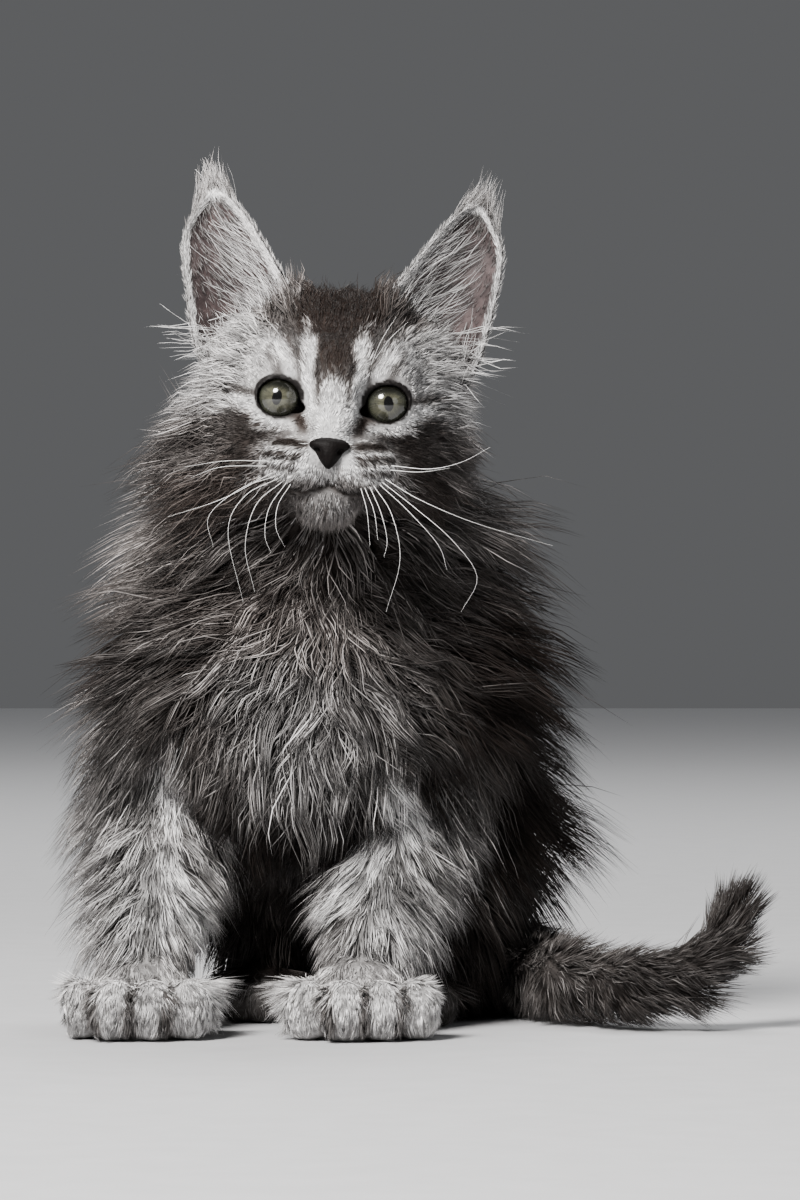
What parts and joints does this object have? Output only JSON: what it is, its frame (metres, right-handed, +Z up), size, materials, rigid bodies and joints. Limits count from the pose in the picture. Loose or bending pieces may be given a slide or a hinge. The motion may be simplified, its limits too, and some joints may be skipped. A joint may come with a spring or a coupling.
{
  "type": "maine coon kitten",
  "caption": "Still, life-size museum model of a long-haired, tufted-eared silver tabby kitten, sitting with its forelegs upright and its tail laid round to one side.",
  "frame": {"origin": "on the floor, under the middle of the box round the whole model", "axes": "+Z up, -Y the way the kitten faces, +X to its own left"},
  "size_m": [0.2266, 0.2038, 0.2691],
  "materials": {
    "eye": "wet, clear eye with a green-grey iris and a dark pupil",
    "nose": "bare, finely pebbled dark skin, slightly moist",
    "face_coat": "short silver fur with dark tabby stripes on the brow and a pale muzzle",
    "ear": "thin pinkish-grey skin with pale long hair along the edges and dark-tipped tufts",
    "long_coat": "long, soft, smoky black-brown hair with a silver underside",
    "leg_coat": "silver-grey hair with darker tabby bands",
    "paw_coat": "short pale silver fur with tufts between the toes"
  },
  "bodies": {
    "root": {"eye_right": "eye", "eye_left": "eye", "nose": "nose", "head": "face_coat", "ear_right": "ear", "ear_left": "ear", "neck": "long_coat", "torso": "long_coat", "foreleg_right": "leg_coat", "foreleg_left": "leg_coat", "forepaw_right": "paw_coat", "forepaw_left": "paw_coat", "hindleg_right": "long_coat", "hindpaw_right": "paw_coat", "hindleg_left": "long_coat", "hindpaw_left": "paw_coat", "tail_root": "long_coat", "tail_middle": "long_coat", "tail_tip": "long_coat"}
  },
  "joints": []
}
